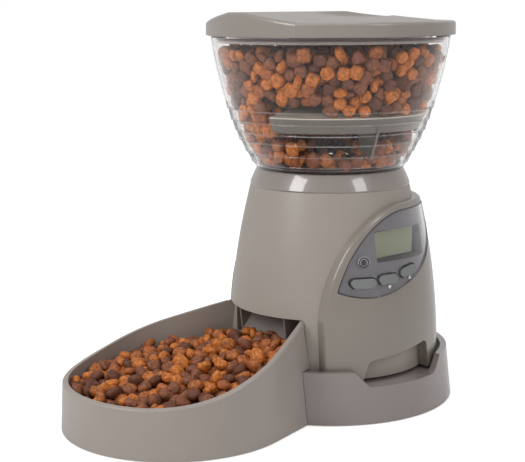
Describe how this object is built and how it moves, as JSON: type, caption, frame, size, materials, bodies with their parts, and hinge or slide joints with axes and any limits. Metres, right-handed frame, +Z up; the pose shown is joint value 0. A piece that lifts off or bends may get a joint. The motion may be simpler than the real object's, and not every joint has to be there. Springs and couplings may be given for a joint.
{
  "type": "automatic pet feeder",
  "caption": "Programmable dry-food pet feeder: clear lidded hopper on a tapered tower with display panel, portion wheel, tray and pull-out bowl.",
  "frame": {"origin": "on the floor, under the middle of the whole footprint", "axes": "+Z up; -Y towards the bowl, so +Y runs to the back of the tower; +X towards the control panel's side"},
  "size_m": [0.2374, 0.3997, 0.367],
  "materials": {
    "housing_plastic": "satin moulded",
    "jacket_plastic": "satin moulded",
    "tray_plastic": "satin moulded",
    "collar_gloss": "polished",
    "clear_plastic": "clear moulded",
    "baffle_plastic": "smooth, dark grey",
    "inner_plastic": "plain moulded",
    "wheel_plastic": "plain moulded",
    "gear_plastic": "natural nylon",
    "bronze": "plain",
    "steel": "plain",
    "rubber": "matt",
    "lens_plastic": "glossy, dark grey-brown",
    "bezel_plastic": "black",
    "lcd_face": "olive green display",
    "led_lens": "unlit",
    "button_plastic": "satin",
    "board": "solder-masked",
    "cell_jacket": "wrapped"
  },
  "bodies": {
    "base": {"tray_base": "tray_plastic", "tray_feet": "rubber"},
    "bowl_unit": {"bowl": "tray_plastic", "bowl_feet": "rubber"},
    "tower": {"tower_housing": "housing_plastic", "jacket": "jacket_plastic", "collar": "collar_gloss", "portion_cup": "inner_plastic", "cup_screws": "steel", "shaft_bush": "bronze", "idler_axle": "steel", "gear_motor": "steel", "gear_plate": "inner_plastic", "gear_plate_screws": "steel", "chute": "inner_plastic", "chute_screws": "steel", "base_plate": "inner_plastic", "base_screws": "steel", "battery_cover": "inner_plastic", "cover_screws": "steel", "d_cells": "cell_jacket", "battery_contacts": "steel", "panel_lens": "lens_plastic", "panel_backing": "bezel_plastic", "display_bezel": "bezel_plastic", "lcd_module": "lcd_face", "status_led": "led_lens", "control_board": "board", "board_screws": "steel", "key_switches": "bezel_plastic"},
    "hopper_unit": {"hopper": "clear_plastic", "feed_baffle": "baffle_plastic"},
    "lid_unit": {"lid": "housing_plastic"},
    "wheel": {"rotor": "wheel_plastic", "rotor_shaft": "steel", "drive_gear": "gear_plastic"},
    "idler": {"idler_gear": "gear_plastic"},
    "pinion": {"motor_pinion": "gear_plastic"},
    "enter": {"enter_button": "button_plastic"},
    "down": {"down_button": "button_plastic"},
    "up": {"up_button": "button_plastic"}
  },
  "joints": [
    {"name": "bowl_slide", "type": "slide", "parent": "base", "child": "bowl_unit", "axis": [0, -1, 0], "range_m": [0, 0.15]},
    {"name": "tower_lift", "type": "slide", "parent": "base", "child": "tower", "axis": [0, 0, 1], "range_m": [0, 0.12]},
    {"name": "hopper_twist", "type": "hinge", "parent": "tower", "child": "hopper_unit", "pos_m": [0, 0.0811, 0.21], "axis": [0, 0, 1], "range_deg": [0, 20]},
    {"name": "lid_lift", "type": "slide", "parent": "hopper_unit", "child": "lid_unit", "axis": [0, 0, 1], "range_m": [0, 0.15]},
    {"name": "wheel_spin", "type": "hinge", "parent": "tower", "child": "wheel", "pos_m": [0, 0.0811, 0.19], "axis": [0, 0, 1], "continuous": true},
    {"name": "idler_spin", "type": "hinge", "parent": "tower", "child": "idler", "pos_m": [0, 0.1036, 0.17], "axis": [0, 0, 1], "continuous": true},
    {"name": "pinion_spin", "type": "hinge", "parent": "tower", "child": "pinion", "pos_m": [0.0375, 0.1036, 0.17], "axis": [0, 0, 1], "continuous": true},
    {"name": "enter_press", "type": "slide", "parent": "tower", "child": "enter", "axis": [-1, 0, 0], "range_m": [0, 0.0008], "stiffness_N_per_m": 500},
    {"name": "down_press", "type": "slide", "parent": "tower", "child": "down", "axis": [-1, 0, 0], "range_m": [0, 0.0008], "stiffness_N_per_m": 500},
    {"name": "up_press", "type": "slide", "parent": "tower", "child": "up", "axis": [-1, 0, 0], "range_m": [0, 0.0008], "stiffness_N_per_m": 500}
  ],
  "couplings": [
    {"joint": "idler_spin", "follows": "wheel_spin", "ratio": -2},
    {"joint": "pinion_spin", "follows": "wheel_spin", "ratio": 8}
  ]
}
